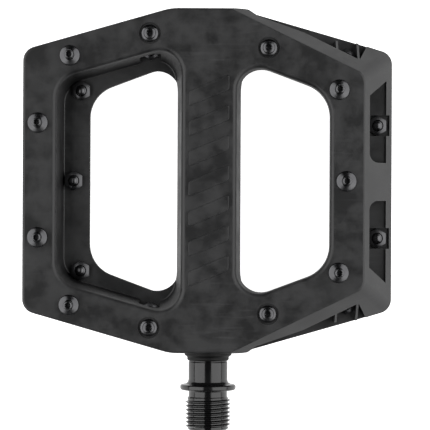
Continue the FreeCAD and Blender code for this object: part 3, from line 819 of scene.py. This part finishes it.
@dataclass
class TreadPins:
    """The eleven pins of each tread and the nuts behind them, in millimetres."""

    count: int = 11
    low_pins: tuple[int, ...] = (5, 6, 7, 8)
    shank: float = 1.5
    shank_root: float = 1.22
    shank_end: float = 8.0
    end_dome: float = 0.3
    dome_share: float = 0.4
    dome_crown: float = 0.04
    relief_depth: float = 0.1
    run_out: float = 0.35
    shoulder: float = 0.3
    thread_end: float = 4.6
    pitch: float = 0.5
    tip_radius: float = 1.45
    tip_top: float = 5.3
    collar_radius: float = 3.2
    recess: float = 0.9
    low_tip_radius: float = 1.9
    low_tip_top: float = 1.5
    low_collar_radius: float = 2.7
    key: float = 0.75
    key_depth: float = 1.6
    low_key_depth: float = 1.5
    key_bevel: float = 0.14
    nut_half_flats: float = 2.75
    nut_face: float = 5.0
    nut_height: float = 2.4
    nut_dish: float = 0.2
    nut_edge: float = 0.1
    nut_mouth: float = 0.3
    nut_clearance: float = 0.05
    nut_land_share: float = 0.94
    columns: int = 48

    def _shank(self, seat: float) -> TurnedMesh:
        """Start a pin with its threaded shank.

        Args:
            seat: The height of the collar's lower face over the tread.

        Returns:
            The mesh, closed below and open at the seat.
        """
        mesh = TurnedMesh(self.columns)
        relief = self.shank_root - self.relief_depth
        foot = self.end_dome - self.shank_end
        mesh.rings([Ring(0, -self.shank_end),
                    Ring(relief * self.dome_share, self.dome_crown - self.shank_end),
                    Ring(relief, foot)])
        mesh.thread(Thread(start=foot, end=-self.thread_end, root=self.shank_root, crest=self.shank,
                           pitch=self.pitch, start_radius=relief, end_radius=relief,
                           run=self.run_out))
        mesh.rings([Ring(relief, -self.thread_end), Ring(self.shank, self.shoulder - self.thread_end),
                    Ring(self.shank, seat)])
        return mesh

    def _socket(self, top: float, depth: float) -> list[Ring]:
        """Give the rings of a key socket, from its mouth to its flat floor.

        Args:
            top: The height of the face it is cut in.
            depth: How deep it is.

        Returns:
            The rings, ending on the axis.
        """
        return [Ring(self.key * 1.22, top), Ring(self.key, top - self.key_bevel, Outline.HEXAGON),
                Ring(self.key, top - depth, Outline.HEXAGON), Ring(0, top - depth)]

    def tall_pin(self, name: str, place: Matrix) -> bpy.types.Object:
        """Build a tall pin, its collar on the tread.

        Args:
            name: The pin's name.
            place: Where it goes, its own height measured from the tread.

        Returns:
            The pin.
        """
        mesh = self._shank(0.0)
        outer, tip, top = self.collar_radius, self.tip_radius, self.tip_top
        mesh.rings(softened([
            (self.shank, 0.0), (outer, 0.0), (outer, 0.3), (outer - 0.1, 0.5), (outer - 0.42, 0.64),
            (tip + 0.2, 1.0), (tip, 1.15), (tip, top - 0.4), (tip - 0.12, top - 0.22),
            (self.key * 1.3, top)], 0.1)
            + self._socket(top, self.key_depth))
        return mesh.made(name, place)

    def low_pin(self, name: str, place: Matrix) -> bpy.types.Object:
        """Build a low pin, its collar sunk in the tread.

        Args:
            name: The pin's name.
            place: Where it goes, its own height measured from the tread.

        Returns:
            The pin.
        """
        seat = -self.recess
        mesh = self._shank(seat)
        outer, tip, top = self.low_collar_radius, self.low_tip_radius, self.low_tip_top
        mesh.rings(softened([
            (self.shank, seat), (outer, seat), (outer, seat + 0.6), (outer - 0.25, seat + 0.8),
            (tip + 0.2, seat + 1.0), (tip, seat + 1.05), (tip, top - 0.45), (tip - 0.15, top - 0.25),
            (self.key * 1.4, top)], 0.08)
            + self._socket(top, self.low_key_depth))
        return mesh.made(name, place)

    def nut(self, name: str, place: Matrix) -> bpy.types.Object:
        """Build a nut against the plate's inner face.

        Args:
            name: The nut's name.
            place: Where it goes, its own height measured from the tread.

        Returns:
            The nut.
        """
        high = -self.nut_face
        shape = Nut(low=high - self.nut_height, high=high, half_flats=self.nut_half_flats,
                    land=self.nut_half_flats * self.nut_land_share,
                    bore=self.shank + self.nut_clearance, mouth=self.nut_mouth,
                    edge=self.nut_edge, dish=self.nut_dish)
        mesh = TurnedMesh(self.columns)
        mesh.rings(shape.rings(), closed=True)
        return mesh.made(name, place)

    def seat(self, node: str, upper: bool) -> Matrix:
        """Find where a pin stands on its tread.

        Args:
            node: The pin's CAD node.
            upper: Whether the pin is in the upper tread.

        Returns:
            The place of the pin's axis on the tread, with its own Z leaving the tread.
        """
        low, high = (Vector(corner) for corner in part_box(node))
        middle = (low + high) / 2
        height = HALF_HEIGHT * MM
        turned = Matrix.Identity(4) if upper else HALF_TURN
        return Matrix.Translation((middle.x, middle.y, height if upper else -height)) @ turned

    def build(self) -> None:
        """Build the pins and nuts of both treads."""
        for face in ("upper", "lower"):
            for number in range(1, self.count + 1):
                pin_name, nut_name = f"{face}_pin_{number:02d}", f"{face}_nut_{number:02d}"
                place = self.seat(pin_name, face == "upper")
                make = self.low_pin if number in self.low_pins else self.tall_pin
                fit(make(f"{pin_name}_turned", place), PLATFORM, PIN_STEEL, pin_name)
                fit(self.nut(f"{nut_name}_chamfered", place), PLATFORM, NUT_STEEL, nut_name)


@dataclass
class Axle:
    """The axle with its real screw threads, in millimetres along the axle."""

    thread: Thread = field(default_factory=lambda: Thread(
        start=-12.7, end=-2.1, root=6.36, crest=7.144, pitch=1.27,
        start_radius=5.95, end_radius=6.1, run=1.2))
    stud: Thread = field(default_factory=lambda: Thread(
        start=105.0, end=112.1, root=2.5, crest=3.0, pitch=0.75,
        start_radius=2.4, end_radius=2.4, run=0.5))
    stud_tip: tuple[float, float] = (2.2, 112.4)
    key: float = 4.0
    key_depth: float = 9.0
    key_bevel: float = 0.45
    key_mouth: float = 4.75
    flange: float = 8.8
    flange_end: float = 1.75
    flange_bevel: float = 0.35
    flange_foot: tuple[tuple[float, float], ...] = ((7.1, 1.9), (6.35, 2.55))
    shank: float = 6.175
    shank_start: float = 3.4
    shank_end: float = 8.8
    journal: float = 6.0
    journal_start: float = 9.0
    journal_end: float = 32.0
    waist: float = 4.8
    waist_start: float = 62.0
    bearing_face: float = 100.0
    bearing_bevel: tuple[float, float] = (0.25, 0.3)
    bearing_seat: float = 3.5
    corner: float = 0.18
    columns: int = 120

    def _profile(self) -> list[tuple[float, float]]:
        """Give the corners of the plain stretches between the two threads.

        Returns:
            Pairs of radius and height.
        """
        relief, bevel = self.thread.end_radius, self.flange_bevel
        step_in, step_back = self.bearing_bevel
        return [
            (relief, self.thread.end), (relief, -bevel), (relief + bevel, 0.0),
            (self.flange - bevel, 0.0), (self.flange, bevel),
            (self.flange, self.flange_end - bevel), (self.flange - bevel, self.flange_end),
            *self.flange_foot, (self.shank, self.shank_start), (self.shank, self.shank_end),
            (self.journal, self.journal_start), (self.journal, self.journal_end),
            (self.waist, self.waist_start), (self.waist, self.bearing_face - step_back),
            (self.waist - step_in, self.bearing_face), (self.bearing_seat, self.bearing_face),
            (self.bearing_seat, self.stud.start), (self.stud.crest, self.stud.start)]

    def build(self) -> None:
        """Build the axle in one closed mesh."""
        end, stud = self.thread.start, self.stud
        floor = end + self.key_depth
        tip_radius, tip = self.stud_tip
        mesh = TurnedMesh(self.columns)
        mesh.rings([
            Ring(0, floor), Ring(self.key, floor, Outline.HEXAGON),
            Ring(self.key, end + self.key_bevel, Outline.HEXAGON), Ring(self.key_mouth, end),
            Ring(self.thread.start_radius, end)])
        mesh.thread(self.thread)
        mesh.rings(softened(self._profile(), self.corner))
        mesh.thread(stud)
        mesh.rings([Ring(stud.crest, stud.start), Ring(stud.start_radius, stud.start)])
        mesh.rings([Ring(stud.end_radius, stud.end), Ring(tip_radius, tip), Ring(0, tip)])
        fit(mesh.made("axle_threaded", ALONG_AXLE), SPINDLE, BLACK_STEEL, "axle")


@dataclass
class Bearings:
    """The lip seal, the plain bush and the ball bearing, in millimetres along the axle."""

    bush: tuple[float, float, float, float] = (6.03, 7.0, 15.0, 31.0)
    bush_chamfer: float = 0.3
    seal_bore: float = 6.06
    seal_corner: float = 0.16
    columns: int = 96

    def build_seal(self) -> None:
        """Build the rubber seal with its folded lip."""
        mesh = TurnedMesh(self.columns)
        mesh.rings(loop_softened([
            (self.seal_bore, 9.3), (6.3, 9.3), (6.62, 9.75), (6.55, 10.3), (6.95, 10.75),
            (7.42, 11.0), (7.45, 11.95), (7.8, 12.0), (7.8, 14.5), (self.seal_bore, 14.5)], self.seal_corner),
            closed=True)
        fit(mesh.made("lip_seal_folded", ALONG_AXLE), PLATFORM, SEAL_RUBBER, "lip_seal")

    def build_bush(self) -> None:
        """Build the plain bush with its chamfered ends."""
        inner, outer, start, end = self.bush
        mesh = TurnedMesh(self.columns)
        corners = [(inner, start), (outer, start), (outer, end), (inner, end)]
        mesh.rings(loop_softened(corners, self.bush_chamfer), closed=True)
        fit(mesh.made("inboard_bush_chamfered", ALONG_AXLE), PLATFORM, BUSH_METAL, "inboard_bush")

    def build(self) -> None:
        """Build the seal and the bush, and dress the ball bearing."""
        self.build_seal()
        self.build_bush()
        for node in ("bearing_inner_ring", "bearing_outer_ring", "bearing_balls"):
            dress_node(node, BEARING_STEEL, TURNED_SHARP)
        dress_node("bearing_cage", CAGE_PLASTIC, TURNED_SHARP)
        for node in ("inboard_shield", "outboard_shield"):
            dress_node(node, SHIELD_RUBBER, TURNED_SHARP)


@dataclass
class OuterEnd:
    """The washer and nut that hold the bearing, and the cap that closes the barrel."""

    nut: Nut = field(default_factory=lambda: Nut(
        low=106.0, high=111.0, half_flats=5.0, land=4.75, bore=3.05, mouth=0.4, edge=0.15))
    nut_columns: int = 72
    cap_start: float = 114.2
    cap_end: float = 120.0
    cap_radius: float = 8.0
    cap_bevel: float = 0.5
    cap_corner: float = 0.15
    cap_key: float = 3.0
    cap_key_depth: float = 3.0
    cap_key_mouth: float = 3.8
    cap_columns: int = 96
    groove_outer: float = 6.2
    groove_inner: float = 4.2
    groove_slope: float = 0.2
    groove_depth: float = 0.35

    def build_nut(self) -> None:
        """Build the lock nut with its turned corners."""
        mesh = TurnedMesh(self.nut_columns)
        mesh.rings(self.nut.rings(), closed=True)
        fit(mesh.made("lock_nut_chamfered", ALONG_AXLE), SPINDLE, ZINC_STEEL, "lock_nut")

    def build_cap(self) -> None:
        """Build the end cap with its key socket and the groove round it."""
        start, end, radius, bevel = self.cap_start, self.cap_end, self.cap_radius, self.cap_bevel
        groove_floor, key_floor = end - self.groove_depth, end - self.cap_key_depth
        mesh = TurnedMesh(self.cap_columns)
        mesh.rings(softened([
            (0, start), (radius - bevel, start), (radius, start + bevel),
            (radius, end - bevel), (radius - bevel, end), (self.groove_outer, end),
            (self.groove_outer - self.groove_slope, groove_floor),
            (self.groove_inner + self.groove_slope, groove_floor),
            (self.groove_inner, end), (self.cap_key_mouth, end)], self.cap_corner)
            + [Ring(self.cap_key_mouth, end), Ring(self.cap_key, end - bevel, Outline.HEXAGON),
               Ring(self.cap_key, key_floor, Outline.HEXAGON), Ring(0, key_floor)])
        fit(mesh.made("end_cap_grooved", ALONG_AXLE), PLATFORM, MOULDED_CAP, "end_cap")

    def build(self) -> None:
        """Build the nut and the cap, and dress the washer and the ring."""
        self.build_nut()
        self.build_cap()
        dress_node("lock_washer", ZINC_STEEL, TURNED_SHARP)
        dress_node("end_cap_ring", SEAL_RUBBER, TURNED_SHARP)


# --- studio ------------------------------------------------------------------------------------

@dataclass
class Studio:
    """A pale floor, soft boxes each side and a camera straight above."""

    camera_place: tuple[float, float, float] = (0.0020, 0.05529, 0.7)
    camera_roll: float = 0.26
    lens: float = 185.15
    floor_size: float = 3.0
    floor_glow: float = 0.4
    floor_white: float = 0.6
    box_reach: float = 0.63
    box_height: float = 0.49
    box_width: float = 1.04
    box_length: float = 1.3
    box_power: float = 9.25
    room_glow: float = 0.03

    def _light(self, name: str, place: Vector) -> None:
        """Add a soft box that faces the pedal's middle.

        Args:
            name: The light's name.
            place: Where it stands, in metres.
        """
        data = bpy.data.lights.new(name, "AREA")
        data.shape = "RECTANGLE"
        # Once the light is aimed, its own X runs along the axle.
        data.size = self.box_length
        data.size_y = self.box_width
        data.energy = self.box_power
        light = bpy.data.objects.new(name, data)
        bpy.context.scene.collection.objects.link(light)
        aim = Vector((0.0, MIDDLE_ROW * MM, 0.0)) - place
        light.location = place
        light.rotation_euler = aim.to_track_quat("-Z", "Y").to_euler()

    def _floor_material(self) -> bpy.types.Material:
        """Make the pale floor's material, which glows, and more so to the camera.

        Returns:
            The material.
        """
        material = bpy.data.materials.new("pale_floor")
        material.use_nodes = True
        shader = material.node_tree.nodes["Principled BSDF"]
        shader.inputs["Base Color"].default_value = (0.9, 0.9, 0.9, 1.0)
        shader.inputs["Roughness"].default_value = 0.9
        shader.inputs["Emission Color"].default_value = (1.0, 1.0, 1.0, 1.0)
        wires = Wires(material.node_tree)
        seen = wires.add("ShaderNodeLightPath").outputs["Is Camera Ray"]
        wires.put(shader.inputs["Emission Strength"],
                  wires.remap(seen, 0.0, 1.0, self.floor_glow, self.floor_glow + self.floor_white))
        return material

    def build(self) -> None:
        """Set up the floor, the lights and the camera."""
        mesh = bmesh.new()
        bmesh.ops.create_grid(mesh, x_segments=1, y_segments=1, size=self.floor_size / 2)
        floor = put_in_scene("floor", mesh)
        floor.location = (0.0, 0.0, -PIN_REACH * MM)
        floor.data.materials.append(self._floor_material())
        for side, name in ((-1, "aft_box"), (1, "fore_box")):
            place = Vector((side * self.box_reach, MIDDLE_ROW * MM, self.box_height))
            self._light(name, place)
        world = bpy.data.worlds.new("room")
        world.use_nodes = True
        background = world.node_tree.nodes["Background"]
        background.inputs["Color"].default_value = (0.9, 0.95, 1.0, 1.0)
        background.inputs["Strength"].default_value = self.room_glow
        bpy.context.scene.world = world
        bpy.context.scene.view_settings.view_transform = "Standard"
        lens = bpy.data.cameras.new("camera")
        lens.lens = self.lens
        lens.sensor_width = 36.0
        lens.clip_start = 0.01
        camera = bpy.data.objects.new("camera", lens)
        camera.location = self.camera_place
        camera.rotation_euler.z = math.radians(self.camera_roll)
        bpy.context.scene.collection.objects.link(camera)
        bpy.context.scene.camera = camera


def main() -> None:
    """Build the studio and every sub-assembly in order."""
    logging.basicConfig(level=logging.INFO, format="%(name)s: %(message)s")
    Studio().build()
    for assembly in (Platform(), TreadPins(), Axle(), Bearings(), OuterEnd()):
        assembly.build()
        log.info("finished %s", type(assembly).__name__)


if __name__ == "__main__":
    main()
